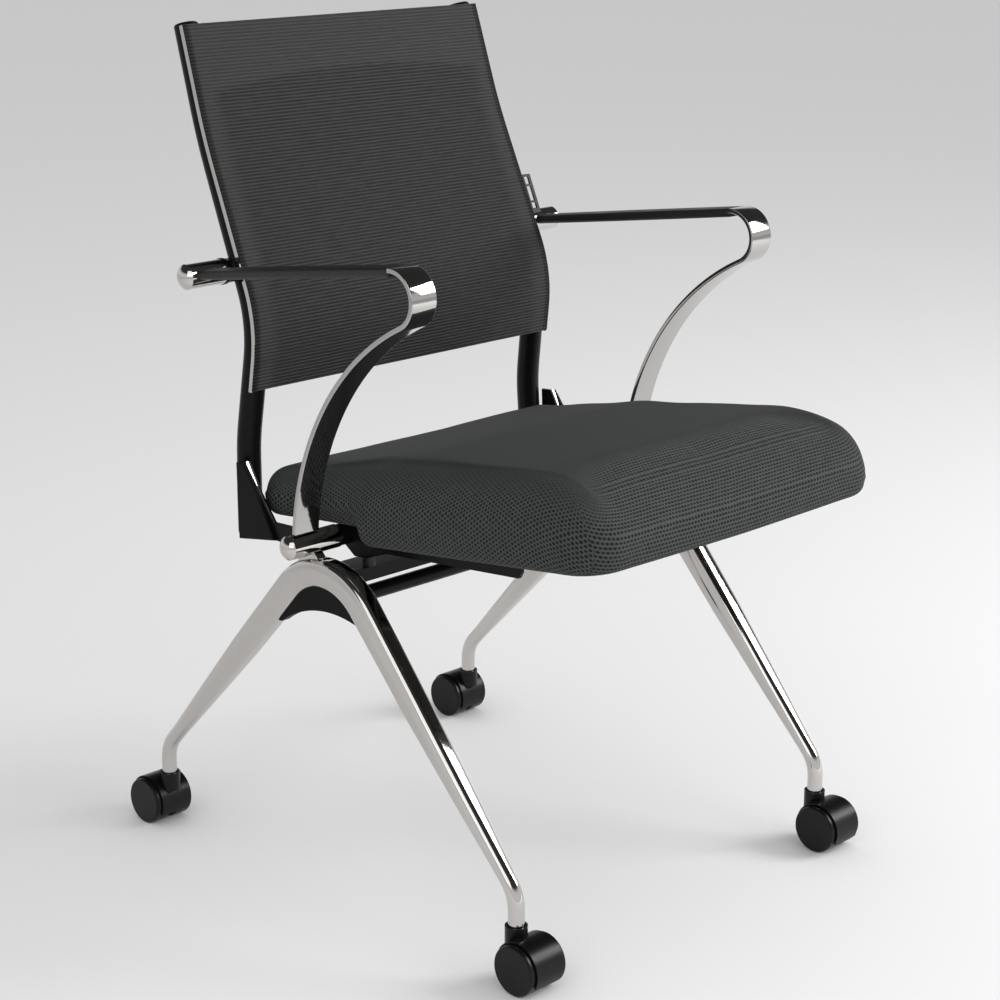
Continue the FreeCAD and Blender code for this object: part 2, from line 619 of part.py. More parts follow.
def stop_bumper(side):
    """Rubber block under the bracket's foot; it comes to rest on the cross plate."""
    x = side * (rail_x - 9.0)
    block_top = Part.makeCylinder(7.0, 30.0, V(x, -21.0, -52.0))
    bumper = fit_seat(block_top)
    bumper = bumper.cut(Part.makeBox(800, 800, 200, V(-400, -400, tray_z + 0.15 - 200)))
    keep_below = fit_seat(Part.makeBox(800, 400, 60, V(-400, -200, -22.0)))
    return bumper.cut(keep_below)


# ---- casters ----
def build_caster(name, x, y, trail):
    """One caster: hood with its neck and hub, axle, two wheels. trail is +1 or -1 along Y."""
    yc, zc = y + trail * caster_trail, wheel_r
    shell = rod(hood_r, x - hood_half, x + hood_half, yc, zc)
    shell = shell.cut(rod(hood_r - hood_wall, x - 30, x + 30, yc, zc))
    mouth = block(x - 40, x + 40, yc - 60, yc + 60, -20, zc - 12.0)
    shell = shell.cut(mouth)
    rib = rod(hood_r - 0.5, x - 1.8, x + 1.8, yc, zc).cut(mouth)
    hub = rod(7.0, x - 2.4, x + 2.4, yc, zc)
    neck = Part.makeCylinder(neck_r, 20.0, V(x, y, 39.0))
    for away in (-30, 30):
        neck = neck.cut(rod(hood_r - hood_wall, x + math.copysign(1.8, away), x + away, yc, zc))
    hood = shell.fuse([rib, hub, neck])
    hood = hood.cut(rod(axle_r, x - 30, x + 30, yc, zc))
    hood = hood.cut(Part.makeCylinder(leg_stem_r + 0.9, 10, V(x, y, leg_foot_z - 2.0)))
    hood = hood.cut(Part.makeCylinder(swivel_r + run_gap, 40, V(x, y, caster_stem_z)))
    save("caster_hood_" + name, max(hood.removeSplitter().Solids, key=lambda s: s.Volume))
    save("caster_axle_" + name, rod(axle_r, x - 20.5, x + 20.5, yc, zc))
    for tag, side in SIDES:
        wheel = rod(wheel_r, x + side * wheel_inner, x + side * wheel_outer, yc, zc)
        rims = [e for e in wheel.Edges if e.Closed and abs(e.BoundBox.Center.x - x) > 1]
        wheel = wheel.makeFillet(2.4, rims).cut(rod(axle_r + run_gap, x, x + side * 21.0, yc, zc))
        save("wheel_%s_%s" % (name, tag), wheel)


def build_casters():
    stems, sockets = [], []
    for end, y, trail in (("front", -stem_y, -1), ("rear", stem_y, 1)):
        for name, side in SIDES:
            x = side * stem_x
            build_caster(end + "_" + name, x, y, trail)
            stem_z = caster_stem_z + 0.5
            stems.append(Part.makeCylinder(swivel_r, 82.0 - stem_z, V(x, y, stem_z)))
            sleeve = Part.makeCylinder(socket_r, socket_len - 1.0, V(x, y, leg_foot_z))
            sockets.append(sleeve.cut(Part.makeCylinder(swivel_r, socket_len, V(x, y, leg_foot_z))))
    save("caster_stems", *stems)
    save("caster_sockets", *sockets)


# ---- the whole chair ----
os.makedirs("parts", exist_ok=True)
leg_hull = {side: leg_tube(side * stem_x, 0) for side in (-1, 1)}
tube_hull = {side: tube_solid(side, tube_r) for side in (-1, 1)}
arm_brackets = {side: arm_bracket(side) for side in (-1, 1)}
build_legs()
build_cross_members()
build_lower_barrels()
build_upper_barrels()
build_arms()
build_back_tubes()
build_mesh()
build_back_rails()
build_side_plates()
build_cushion()
build_pan()
build_seat_frame()
build_casters()
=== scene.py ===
"""Mesh-back nesting chair on casters: finishes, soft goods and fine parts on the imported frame.

Blender works in metres, +Z up, and the sitter faces -Y. The sizes in capitals and the shape
functions are in millimetres, which piece() turns into metres. Finishes are in metres.
"""
import math
import bpy
import numpy as np
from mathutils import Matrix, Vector


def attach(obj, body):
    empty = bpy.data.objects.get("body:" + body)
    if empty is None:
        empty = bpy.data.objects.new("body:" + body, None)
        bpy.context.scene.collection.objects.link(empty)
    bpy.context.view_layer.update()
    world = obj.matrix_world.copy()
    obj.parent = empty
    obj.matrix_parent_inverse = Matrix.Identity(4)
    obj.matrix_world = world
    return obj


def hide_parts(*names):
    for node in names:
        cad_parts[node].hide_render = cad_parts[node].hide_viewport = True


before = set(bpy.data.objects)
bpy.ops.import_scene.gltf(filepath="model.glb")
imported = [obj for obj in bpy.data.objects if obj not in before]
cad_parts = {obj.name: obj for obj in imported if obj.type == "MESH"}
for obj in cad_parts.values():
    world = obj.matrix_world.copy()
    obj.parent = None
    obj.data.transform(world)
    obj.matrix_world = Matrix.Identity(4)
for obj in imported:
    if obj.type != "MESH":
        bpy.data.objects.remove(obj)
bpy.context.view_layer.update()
MM = 0.001
X, Y, Z = 0, 1, 2
SIDES = (("left", -1), ("right", 1))

# ---- sizes shared by the pieces, in millimetres and degrees ----
ORIGIN_Y = 17.1815                       # added to every Y below
STEM_X, STEM_Y = 228.0, 265.5            # caster stems
LEG_TOP, LEG_TOP_R = (-6.5, 381.6), 71.5
LEG_BEND_Z, LEG_BEND_R, LEG_FOOT_Z = 89.5, 40.0, 55.4
LOWER_Y, LOWER_Z = 15.0, 375.0           # lower barrels, on which the seat turns
UPPER_Y = 162.0                          # upper barrels, behind the arm pads
BARREL_CLEAR, PAD_SHORT = 10.5, 8.5      # where bars start and pads stop, from a barrel's axis
STRAP_X, STRAP_HALF, STRAP_T, STRAP_EDGE = 240.5, 15.5, 5.0, 1.1
SWEEP_Y, SWEEP_Z, SWEEP_R, SWEEP_FROM, SWEEP_TO = -265.0, 366.0, 278.0, 93.0, 154.0  # bars' arc
HOOK_R, PAD_SLOPE = 27.0, 8.0
PAD_T, PAD_CROWN, PAD_EDGE, PAD_EASE, PAD_NOSE = 9.0, 0.3, 3.9, 2.2, 4.5
TUBE_LINE = [(138.2, 353.0), (142.3, 449.6), (125.7, 572.8), (204.1, 751.7), (238.0, 858.0)]
TUBE_BENDS = [200.0, 130.0, 600.0]

# ---- mesh back ----
MESH_LOW, MESH_HIGH = 506.2, 862.5       # heights of its bottom and top edges
MESH_HALF_LOW, MESH_HALF_HIGH = 213.4, 204.4
MESH_AHEAD, MESH_SINK = 13.7, 0.6        # its face ahead of the tubes, its middle behind that
MESH_HALF_T = 0.45
RIB_PITCH, RIB_RISE, RIB_STEPS = 3.55, 0.22, 8
HEM_ROUND, HEM_LAY = 0.7, 1.3            # rounding of the side edges, and cloth that it takes up
STITCH_IN, STITCH_PROUD, STITCH_LENGTH, STITCH_R = 6.2, 0.1, 2.5, 0.55
YARN = 0.0011                            # metres between the yarns
HEM_EDGE, RAIL_EDGE = 0.2078, 0.318      # metres on the cloth, across and up

# ---- cushion: Y and Z from the pivot, in the seat's own level frame ----
SEAT_TILT, SEAT_HALF, SEAT_REAR, SEAT_FRONT = 5.1, 215.0, 102.0, -363.0
CUSHION_REAR, SIDE_INSET, REAR_CORNER, FRONT_CORNER = 109.0, 2.0, 26.0, 42.0
NOSE, NOSE_LOW = 100.0, 3.0              # length and lowest height of the rounded front
CROWN_BREAK, CROWN_REAR_Z, CROWN_BREAK_Z = 82, 55.5, 79.0
REAR_SLOPE, FRONT_SLOPE, CROWN_DROP = 0.128, 0.0435, 1.5
FLOOR, LIP, LIP_REAR = 20.4, 20.0, 4.0   # recess for the pan, and the rim round it
UNDER, UNDER_RISE, RISE_FROM, REAR_UNDER = -4.0, 7.0, 36.0, 13.0
WAIST = 13.0                             # how far the sides pull in behind the arms
ROLL, ROLL_REAR, ROLL_FRONT, ROLL_SIDE = 24.0, -6.0, 4.0, 11.0
BOTTOM_R, BOTTOM_R_REAR = 11.0, 12.0
FRONT_SHOULDER, BULGE = 35.0, 2.4
ACROSS, DEEP = 72, 78                    # faces across and along the cushion
HOLE_STEP, HOLE_ROW = 4.45, 4.0          # openings in the cloth, along and between their rows
CLOTH_START = 40.0                       # cloth place of the top's edge, measured down the sides
SWELL, SWELL_FRAMES = 3.5, 20
HELD_RINGS, EVENED_RINGS = 4, 14         # rings from the bottom, and rings from the top
SHAPE_PASSES, SWELL_PASSES = 8, 14


# ---- finishes ----
class Value:
    """A socket's output inside a finish. Sums on it add Math nodes."""

    def __init__(self, finish, socket):
        self.finish, self.socket = finish, socket

    def maths(self, operation, *others):
        return self.finish.node("Math", dict(enumerate((self,) + others)), operation=operation)

    def __add__(self, other):
        return self.maths("ADD", other)

    def __sub__(self, other):
        return self.maths("SUBTRACT", other)

    def __rsub__(self, other):
        return self.finish.node("Math", {0: other, 1: self}, operation="SUBTRACT")

    def __mul__(self, other):
        return self.maths("MULTIPLY", other)

    def __truediv__(self, other):
        return self.maths("DIVIDE", other)


class Finish:
    """A material on one Principled shader."""

    def __init__(self, name, **shader):
        self.material = bpy.data.materials.new(name)
        self.material.use_nodes = True
        self.tree = self.material.node_tree
        self.shader = self.tree.nodes["Principled BSDF"]
        self.set(**shader)

    def set(self, **inputs):
        for key, value in inputs.items():
            self.feed(self.shader.inputs[key.replace("_", " ")], value)

    def feed(self, socket, value):
        if isinstance(value, Value):
            self.tree.links.new(value.socket, socket)
        elif isinstance(value, tuple) and socket.type == "RGBA":
            socket.default_value = value + (1.0,)
        else:
            socket.default_value = value

    def node(self, kind, inputs=None, output=0, **settings):
        made = self.tree.nodes.new("ShaderNode" + kind)
        for key, value in settings.items():
            setattr(made, key, value)
        for key, value in (inputs or {}).items():
            self.feed(made.inputs[key], value)
        return Value(self, made.outputs[output])

    def places(self):
        return self.node("TexCoord", output="Object")

    def cloth_places(self):
        return self.node("UVMap", uv_map="cloth")

    def facing(self):
        return self.node("NewGeometry", output="Normal")

    def part(self, vector, axis):
        return self.node("SeparateXYZ", {0: vector}, output=axis)

    def noise(self, scale, detail=2.0, rough=0.5, where=None):
        return self.node("TexNoise", {"Vector": where or self.places(), "Scale": scale,
                                      "Detail": detail, "Roughness": rough})

    def cells(self, scale):
        return self.node("TexVoronoi", {"Vector": self.places(), "Scale": scale})

    def between(self, value, low, high, to_low=0.0, to_high=1.0):
        """A value's place between low and high, as a number between to_low and to_high."""
        return self.node("MapRange", {0: value, 1: low, 2: high, 3: to_low, 4: to_high})

    def colours(self, share, a, b):
        """Colour a, going over to b as the share rises. A Mix node takes them at 6 and 7."""
        return self.node("Mix", {0: share, 6: a, 7: b}, output=2, data_type="RGBA")

    def shade(self, share, dark, pale, rough, span=(0.3, 0.7)):
        """Colour and roughness that both follow a share."""
        self.set(Base_Color=self.colours(share, dark, pale),
                 Roughness=self.between(share, *span, *rough))

    def bumps(self, height, strength, distance):
        self.set(Normal=self.node("Bump", {"Height": height, "Strength": strength,
                                           "Distance": distance}))


def grey(level):
    return (level, level, level)


def chrome(name, dull, clear):
    """Polished chrome, faintly smeared and pitted."""
    f = Finish(name, Metallic=1.0)
    f.shade(f.noise(9.0, 4.0, 0.6), dull, clear, (0.035, 0.10), (0.3, 0.75))
    f.bumps(f.noise(420.0, 1.0), 0.04, 0.0004)
    return f.material


def zinc():
    """Dull plated steel of the screws, pins and axles."""
    f = Finish("zinc_screw", Metallic=1.0)
    f.shade(f.noise(160.0, 3.0, 0.6), (0.42, 0.42, 0.43), grey(0.60), (0.22, 0.38))
    f.bumps(f.noise(900.0, 1.0), 0.1, 0.0003)
    return f.material


def powder_black():
    """Gloss black coat on the steel tubes, with its fine orange peel."""
    f = Finish("black_tube_coat", IOR=1.5, Specular_IOR_Level=0.12)
    f.shade(f.noise(14.0, 3.0, 0.55), grey(0.003), grey(0.0055), (0.24, 0.34))
    f.bumps(f.noise(700.0, 1.0), 0.12, 0.0005)
    return f.material


def moulded_black():
    """Satin moulded plastic with a spark-eroded grain."""
    f = Finish("moulded_black", IOR=1.46, Specular_IOR_Level=0.10)
    f.shade(f.noise(22.0, 3.0), (0.0035, 0.0035, 0.0032), (0.006, 0.006, 0.0057), (0.40, 0.52))
    f.bumps(f.cells(1500.0), 0.25, 0.0003)
    return f.material


def soft_black():
    """Soft-touch skin of the arm pads and rubber parts."""
    f = Finish("soft_black", IOR=1.45, Specular_IOR_Level=0.5)
    f.shade(f.noise(18.0, 3.0), grey(0.009), (0.014, 0.014, 0.0135), (0.44, 0.54))
    f.bumps(f.cells(900.0), 0.2, 0.0003)
    return f.material


def gloss_black():
    """Polished nylon of the casters; dust dulls it towards the floor."""
    f = Finish("gloss_black", IOR=1.5, Specular_IOR_Level=0.22)
    low = f.between(f.part(f.places(), Z), 0.0, 0.05, 0.8, 0.05)
    dust = low * f.between(f.noise(260.0, 4.0, 0.7), 0.45, 0.75)
    f.shade(dust, grey(0.004), (0.013, 0.0127, 0.012), (0.30, 0.45), (0.0, 0.8))
    f.bumps(f.noise(500.0, 1.0), 0.05, 0.0004)
    return f.material


def edged_black():
    """Black coat on a plate's faces, with the outer half of its polished edges left bright."""
    f = Finish("black_bright_edge", IOR=1.5, Specular_IOR_Level=0.12)
    sideways = f.part(f.facing(), X).maths("ABSOLUTE")
    outward = f.part(f.places(), X).maths("ABSOLUTE")
    outer_half = f.between(outward, 0.2218, 0.2222)
    edge = f.between(sideways, 0.92, 0.75) * outer_half
    coat = f.colours(f.noise(20.0, 3.0, 0.55), grey(0.003), grey(0.006))
    f.set(Base_Color=f.colours(edge, coat, (0.60, 0.58, 0.565)), Metallic=edge,
          Roughness=f.between(edge, 0.0, 1.0, 0.30, 0.10))
    f.bumps(f.noise(700.0, 1.0), 0.08, 0.0004)
    return f.material


def back_cloth():
    """Back mesh: ribs, painted shade in grooves, lighter double hems, painted sheen of tubes and
    rail.
    """
    f = Finish("back_mesh", IOR=1.4)
    uv = f.cloth_places()
    across, up = f.part(uv, X), f.part(uv, Y)
    wander = f.noise(30.0, 2.0, 0.5, uv) - 0.5
    rib = (up / (RIB_PITCH * MM) * 2 * math.pi + wander * 0.5).maths("COSINE")
    yarn = (across / YARN * 2 * math.pi).maths("SINE")
    drawn_out = f.node("Mapping", {"Vector": uv, "Scale": (0.10, 1.0, 1.0)})
    streaks = f.noise(420.0, 3.0, 0.6, drawn_out)
    rise = f.between(rib + (streaks - 0.5) * 3.0, -0.85, 0.60)
    reach = across.maths("ABSOLUTE")
    hem = f.between(reach, HEM_EDGE, HEM_EDGE + 0.0015)
    within = f.between(reach, HEM_EDGE, HEM_EDGE - 0.004)
    # Double hem over the side tubes: lighter, partly denser cloth, partly painted sheen of the
    # tubes behind.
    doubled_hem_and_tube_sheen = f.between(reach, HEM_EDGE - 0.028, HEM_EDGE - 0.012) * within
    # Band along the top rail: painted sheen of the rail behind the mesh.
    arched = up + across * across * 0.40
    rail_sheen = f.between(arched, RAIL_EDGE, RAIL_EDGE + 0.006) * within
    hem_and_rail_sheen = doubled_hem_and_tube_sheen.maths("MAXIMUM", rail_sheen) * 0.45
    # Grooves between the ribs darker than the rib tops: painted shade in the grooves.
    body = f.colours(rise, grey(0.012), (0.024, 0.024, 0.0236))
    # Yarn crests on the ribs lighter: painted highlight, with the painted sheen of tubes and rail
    # added.
    lit = f.colours(f.between(yarn, -1.0, 1.0, 0.0, 0.25) * rise + hem_and_rail_sheen, body, grey(0.040))
    # Rounded side edge near black, a little lighter on the ribs: painted shade of the gap beside
    # the edge strip.
    notch = f.between(rise, 0.3, 0.8) * 0.55
    edge = f.colours(notch, grey(0.003), (0.011, 0.011, 0.0105))
    f.set(Base_Color=f.colours(hem, lit, edge), Roughness=f.between(rise, 0.0, 1.0, 0.88, 0.70))
    f.bumps(rise * 0.7 + yarn * 0.12, 0.35, 0.0005)
    return f.material


def seat_cloth():
    """Grey spacer mesh: staggered rows of small oval openings with painted shade, closed and smooth
    on top.

    The rows run down the cushion's sides and across its front, as on one sheet drawn over it.
    """
    f = Finish("seat_cloth", IOR=1.4, Specular_IOR_Level=0.2, Sheen_Weight=0.03,
               Sheen_Roughness=0.5)
    uv = f.cloth_places()
    run, down = f.part(uv, X), f.part(uv, Y)
    facing = f.facing()
    lean = [f.part(facing, axis).maths("ABSOLUTE") for axis in (X, Y, Z)]
    side = (lean[X] - lean[Y] - lean[Z] * 0.15).maths("GREATER_THAN", 0.0)
    wander = f.noise(55.0, 2.0, 0.5, uv)
    along = (run + (down - run) * side) / (HOLE_STEP * MM) + wander * 0.30
    rows = (down + (run - down) * side) / (HOLE_ROW * MM) + wander * 0.20
    odd = (rows * 0.5).maths("FRACT").maths("GREATER_THAN", 0.5)
    x = (along + odd * 0.5).maths("FRACT") - 0.5
    y = rows.maths("FRACT") - 0.5
    reach = (x * x * (side * 3.0 + 3.6) + y * y * (6.2 - side * 2.8)).maths("SQRT")
    number = f.node("CombineXYZ", {0: (along + odd * 0.5).maths("FLOOR"), 1: rows.maths("FLOOR")})
    chance = f.node("TexWhiteNoise", {0: number}, noise_dimensions="3D")
    ahead = (f.between(f.part(f.places(), Y), -0.16, -0.27)
             * f.between(f.part(f.places(), X).maths("ABSOLUTE"), 0.185, 0.13))
    open_share = f.between(down + ahead * 0.075, -0.045, 0.0)
    # Openings near black: painted shade inside them; the bump below sinks them as well.
    hole = f.between(reach + (chance - 0.5) * 0.16, 0.95, 0.60) * open_share * 0.85
    fuzz = f.noise(1300.0, 2.0, 0.7)
    mottle = f.noise(7.0, 3.0, 0.55)
    frayed = f.between(fuzz, 0.35, 0.8, 0.0, 0.30)
    body = f.colours(mottle, (0.021, 0.0228, 0.0225), (0.025, 0.0268, 0.0265))
    plain = f.colours(frayed, body, (0.042, 0.0445, 0.044))
    strands = f.colours(frayed, (0.052, 0.0555, 0.0545), (0.082, 0.086, 0.085))
    f.set(Base_Color=f.colours(hole, f.colours(open_share, plain, strands), grey(0.004)),
          Roughness=f.between(fuzz, 0.3, 0.7, 0.80, 0.94))
    f.bumps(fuzz * 0.15 - hole, 0.6, 0.0008)
    return f.material


CHROME = chrome("chrome", (0.56, 0.535, 0.515), (0.62, 0.60, 0.585))
# A darker copy of the chrome for the arm bars: painted shade, for the dark cushion and mesh they
# reflect.
SHADED_ARM_CHROME = chrome("arm_chrome_shaded", (0.43, 0.415, 0.405), (0.49, 0.48, 0.47))
ZINC, TUBE_COAT, EDGED = zinc(), powder_black(), edged_black()
MOULDED, GLOSS, SOFT = moulded_black(), gloss_black(), soft_black()
BACK_CLOTH, SEAT_CLOTH = back_cloth(), seat_cloth()


# ---- shapes ----
def linked(name, data):
    """A new object in the scene."""
    made = bpy.data.objects.new(name, data)
    bpy.context.scene.collection.objects.link(made)
    return made


def piece(name, points, faces, finish, body, smooth=40.0, uv=None):
    """A mesh from points in millimetres, riding on a body. uv has a place for each face corner."""
    data = bpy.data.meshes.new(name)
    places = [tuple(p) for p in np.asarray(points) * MM]
    data.from_pydata(places, [], [tuple(map(int, face)) for face in faces])
    if uv is not None:
        layer = data.uv_layers.new(name="cloth")
        layer.data.foreach_set("uv", (np.asarray(uv, float) * MM).ravel())
    data.validate()
    outwards(data)
    data.polygons.foreach_set("use_smooth", [True] * len(data.polygons))
    data.set_sharp_from_angle(angle=math.radians(smooth))
    data.materials.append(finish)
    made = linked(name, data)
    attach(made, body)
    return made


def outwards(data):
    """Turn a closed shape's faces outward if its volume comes out negative."""
    data.calc_loop_triangles()
    points = np.array([v.co for v in data.vertices])
    a, b, c = (points[[t.vertices[i] for t in data.loop_triangles]] for i in range(3))
    if np.einsum("ij,ij->i", a, np.cross(b, c)).sum() < 0:
        data.flip_normals()


def skin(rings, caps=True):
    """Points and faces of a surface through closed rings of equal length."""
    count, size = len(rings), len(rings[0])
    faces = []
    for i in range(count - 1):
        for j in range(size):
            k = (j + 1) % size
            faces.append((i * size + j, i * size + k, (i + 1) * size + k, (i + 1) * size + j))
    if caps:
        faces.append(tuple(range(size - 1, -1, -1)))
        faces.append(tuple((count - 1) * size + j for j in range(size)))
    return np.concatenate(rings), faces


def unit(vector):
    return vector / np.linalg.norm(vector)


def directions_along(line):
    """Unit directions at the points of a line."""
    along = np.gradient(line, axis=0)
    return along / np.linalg.norm(along, axis=1)[:, None]


def lengths_along(line):
    """Distance of each point from a line's start."""
    return np.concatenate([[0], np.cumsum(np.hypot(*np.diff(line, axis=0).T))])


def turned(p, deg, r):
    """The point at an angle and a radius from p."""
    return (p[0] + r * math.cos(math.radians(deg)), p[1] + r * math.sin(math.radians(deg)))


def rounded_line(corners, radii, step):
    """Points and directions (y, z) along straight runs joined by tangent arcs."""
    corners = [np.array(c, float) for c in corners]
    places = [corners[0]]
    for before, here, after, r in zip(corners, corners[1:], corners[2:], radii):
        d1, d2 = unit(before - here), unit(after - here)
        half = math.acos(np.clip(d1 @ d2, -1, 1)) / 2
        centre = here + unit(d1 + d2) * r / math.sin(half)
        ends = [here + d * r / math.tan(half) for d in (d1, d2)]
        a0, a1 = [math.atan2(*(end - centre)[::-1]) for end in ends]
        turn = (a1 - a0 + math.pi) % (2 * math.pi) - math.pi
        steps = max(3, int(abs(turn) * r / step))
        for i in range(steps + 1):
            a = a0 + turn * i / steps
            places.append(centre + r * np.array([math.cos(a), math.sin(a)]))
    places.append(corners[-1])
    filled = [places[0]]
    for a, b in zip(places, places[1:]):
        runs = max(1, int(np.linalg.norm(b - a) / (step * 2)))
        filled += [a + (b - a) * i / runs for i in range(1, runs + 1)]
    filled = np.array(filled)
    return filled, directions_along(filled)


def slab_section(half_x, half_n, r, arc=5):
    """Rounded rectangle as (n, x) pairs."""
    points = []
    for sx, sn, start in ((1, 1, 0), (-1, 1, 90), (-1, -1, 180), (1, -1, 270)):
        for i in range(arc + 1):
            a = math.radians(start + 90 * i / arc)
            points.append((sn * (half_n - r) + r * math.sin(a),
                           sx * (half_x - r) + r * math.cos(a)))
    return np.array(points)


def swept(line, directions, sections, x):
    """Rings of (n, x) sections set square to a line in the Y-Z plane."""
    rings = []
    for (y, z), (dy, dz), section in zip(line, directions, sections):
        n, sx = section[:, 0], section[:, 1]
        rings.append(np.stack([x + sx, y + ORIGIN_Y - dz * n, z + dy * n], 1))
    return rings


# ---- side legs ----
def leg_section(half_x, half_n, r, cut):
    """Rounded rectangle whose two side faces end in a fine groove before the rounded edges."""
    arc = 9
    section = slab_section(half_x, half_n, r, arc)
    beside_flat = [1, 2 * arc, 2 * arc + 3, 4 * arc + 2]
    section[beside_flat, 1] -= np.sign(section[beside_flat, 1]) * cut
    return section


def make_legs():
    """Inverted-V legs, tapering from the top bend to the round stem over each caster."""
    corners = [(-STEM_Y, LEG_FOOT_Z), (-STEM_Y, LEG_BEND_Z), LEG_TOP,
               (STEM_Y, LEG_BEND_Z), (STEM_Y, LEG_FOOT_Z)]
    line, directions = rounded_line(corners, [LEG_BEND_R, LEG_TOP_R, LEG_BEND_R], 3.0)
    length = math.hypot(STEM_Y + LEG_TOP[0], LEG_TOP[1] - LEG_BEND_Z)
    reach = np.hypot(line[:, 0] - LEG_TOP[0], line[:, 1] - LEG_TOP[1])
    marks = np.array([0.0, 90.0, 0.5 * length, 0.74 * length, length - 22.0, length + 60])
    half_n, half_x, edge_r, groove = (np.interp(reach, marks, values) for values in (
        [14.8, 14.8, 13.2, 10.3, 8.1, 8.1],
        [11.6, 11.6, 11.4, 10.1, 8.1, 8.1],
        [7.3, 7.3, 7.1, 7.6, 8.09, 8.09],
        [0.5, 0.5, 0.5, 0.35, 0.0, 0.0]))
    sections = [leg_section(*sizes) for sizes in zip(half_x, half_n, edge_r, groove)]
    for name, side in SIDES:
        points, faces = skin(swept(line, directions, sections, side * STEM_X))
        leg = piece("leg_" + name, points, faces, CHROME, "frame")
        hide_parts("side_leg_" + name)


# ---- arms ----
def strap_line():
    """The arm bar's centre line, from the lower barrel up and round the hook, and its end."""
    step = 2.0
    centre = turned((SWEEP_Y, SWEEP_Z), SWEEP_TO - 90, SWEEP_R + HOOK_R)
    end = turned(centre, 90 - PAD_SLOPE, HOOK_R)
    sweep = np.arange(SWEEP_FROM - 90, SWEEP_TO - 90, math.degrees(step * 2 / SWEEP_R))
    hook = np.arange(SWEEP_TO + 90, 90 - PAD_SLOPE - 2, -math.degrees(step / HOOK_R))
    places = [turned((SWEEP_Y, SWEEP_Z), a, SWEEP_R) for a in sweep]
    places += [turned(centre, a, HOOK_R) for a in hook[:-1]] + [end]
    places = np.array(places)
    directions = directions_along(places)
    clear = np.hypot(places[:, 0] - LOWER_Y, places[:, 1] - LOWER_Z) > BARREL_CLEAR
    return places[clear], directions[clear], np.array(end)


def pad_section(s, run):
    """Section of the arm pad at a place along it: eased at both ends, rounded over at the rear."""
    swell = 1.0 - 0.10 * (1 - min(min(s, run - s) / PAD_EASE, 1)) ** 2
    nose = math.sqrt(1 - max(0.0, 1 - (run - s) / PAD_NOSE) ** 2)
    half_n = (PAD_T / 2 + PAD_CROWN * math.sin(math.pi * (s / run))) * swell * nose
    shape = slab_section(STRAP_HALF * swell, half_n, min(PAD_EDGE, PAD_T / 2 * nose * 0.95), 8)
    shape[:, 0] -= (PAD_T - STRAP_T) / 2
    return shape


def make_arms():
    """The flat bars, hooked over at the front, and the soft pads that run back from them."""
    line, directions, start = strap_line()
    bar_section = slab_section(STRAP_HALF, STRAP_T / 2, STRAP_EDGE)
    tilt = math.radians(PAD_SLOPE)
    down = np.array([math.cos(tilt), -math.sin(tilt)])
    run = (UPPER_Y - PAD_SHORT - start[0]) / math.cos(tilt)
    marks = np.concatenate([[0.3, 0.6, 1.2, 2.2], np.linspace(4, run - 6, 30),
                            run - np.array([4.5, 3, 1.5, 0.6, 0.1])])
    pad_line = np.array([start + down * s for s in marks])
    pad_sections = [pad_section(s, run) for s in marks]
    for name, side in SIDES:
        x = side * STRAP_X
        points, faces = skin(swept(line, directions, [bar_section] * len(line), x))
        bar = piece("arm_bar_" + name, points, faces, SHADED_ARM_CHROME, "frame", smooth=50)
        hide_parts("arm_strap_" + name)
        points, faces = skin(swept(pad_line, [down] * len(marks), pad_sections, x))
        pad = piece("arm_sleeve_" + name, points, faces, SOFT, "frame", smooth=60)
        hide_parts("arm_pad_" + name)


# ---- back ----
def back_profile(ahead):
    """The back's side profile (y, z) ahead of the tubes' centres, its directions and lengths."""
    line, directions = rounded_line(TUBE_LINE, TUBE_BENDS, 1.0)
    moved = line + np.stack([-directions[:, 1], directions[:, 0]], 1) * ahead
    return moved, directions, lengths_along(moved)


def mesh_half(z):
    """Half the mesh's width at a height."""
    return np.interp(z, [MESH_LOW, MESH_HIGH], [MESH_HALF_LOW, MESH_HALF_HIGH])


def make_back_cloth():
    """The mesh: ribbed across and drawn flat to its side hems, whose edges are softly rounded."""
    moved, directions, length = back_profile(MESH_AHEAD - MESH_SINK)
    s0, s1 = np.interp([MESH_LOW, MESH_HIGH], moved[:, 1], length)
    s = np.linspace(s0, s1, int(round((s1 - s0) / RIB_PITCH)) * RIB_STEPS + 1)
    y, z = (np.interp(s, length, moved[:, i]) for i in (0, 1))
    dy, dz = (np.interp(s, length, directions[:, i]) for i in (0, 1))
    phase = (s - s0) / RIB_PITCH
    rise = RIB_RISE * np.cos(2 * math.pi * phase)
    half = mesh_half(z)
    turn = np.radians(np.linspace(90, 0, 7))
    flat = np.linspace(-1, 1, 25)[1:-1]
    across = np.concatenate([-1 + 0 * turn, flat, 1 + 0 * turn])
    out = HEM_ROUND * np.concatenate([-np.cos(turn[::-1]), 0 * flat, np.cos(turn)])
    drop = HEM_ROUND * np.concatenate([1 - np.sin(turn[::-1]), 0 * flat, 1 - np.sin(turn)])
    rings = []
    for i in range(len(s)):
        x = across * (half[i] - HEM_ROUND) + out
        front, rear = (np.stack([x, y[i] + ORIGIN_Y - dz[i] * lift, z[i] + dy[i] * lift], 1)
                       for lift in (MESH_HALF_T + rise[i] - drop, -MESH_HALF_T + rise[i] - drop))
        rings.append(np.concatenate([front, rear[::-1]]))
    points, faces = skin(rings)
    arc = across * (MESH_HALF_LOW - HEM_ROUND) + out * HEM_LAY
    arc = np.concatenate([arc, arc[::-1]])
    uv = [(arc[c % len(arc)], s[c // len(arc)] - s0) for face in faces for c in face]
    cloth = piece("back_cloth", points, faces, BACK_CLOTH, "frame", smooth=80, uv=uv)
    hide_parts("mesh_panel")


